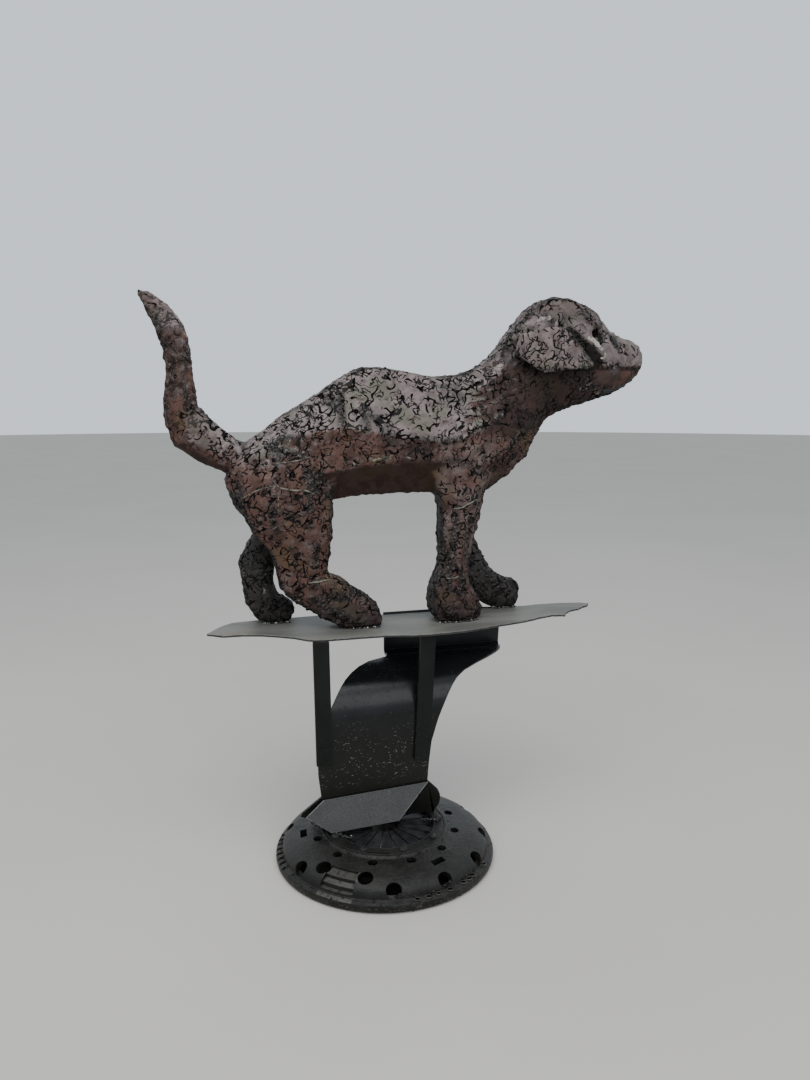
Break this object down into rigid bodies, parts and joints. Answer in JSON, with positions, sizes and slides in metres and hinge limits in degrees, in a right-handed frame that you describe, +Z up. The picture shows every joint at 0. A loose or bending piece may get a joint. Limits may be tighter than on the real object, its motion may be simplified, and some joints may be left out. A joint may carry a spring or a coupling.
{
  "type": "scrap metal dog sculpture",
  "caption": "Walking dog welded from scrap slivers, on a torch-cut tray that a bent black panel and flat bars carry above a car clutch cover.",
  "frame": {"origin": "centre of the bounding box, on the floor under the clutch cover", "axes": "+X from the tail to the nose, +Y to the dog's left, which is the side of the panel's turned-up flange, +Z up"},
  "size_m": [0.6424, 0.2734, 0.687],
  "materials": {
    "cover_black": "satin black with a worn grey sheen on the shoulder",
    "cast_black": "rough, dark",
    "spring_black": "satin, dark",
    "rivet_black": "satin",
    "panel_black": "half gloss, dusty towards the foot",
    "bar_black": "satin",
    "gusset_grey": "dull, worn bright along the edges",
    "tray_grey": "matte, grey brown, with a dark torch-cut edge",
    "scrap_skin": "rough scrap slivers, maroon to grey pink, with dark gaps between them"
  },
  "bodies": {
    "root": {"clutch_cover": "cover_black", "pressure_ring": "cast_black", "diaphragm_spring": "spring_black", "support_panel": "panel_black", "rear_gusset": "panel_black", "left_bar": "bar_black", "right_bar": "bar_black", "front_gusset": "gusset_grey", "tray_plate": "tray_grey", "dog": "scrap_skin", "ear_right": "scrap_skin", "ear_left": "scrap_skin", "rivet_1": "rivet_black", "rivet_2": "rivet_black", "rivet_3": "rivet_black", "rivet_4": "rivet_black", "rivet_5": "rivet_black", "rivet_6": "rivet_black", "rivet_7": "rivet_black", "rivet_8": "rivet_black", "rivet_9": "rivet_black"}
  },
  "joints": []
}
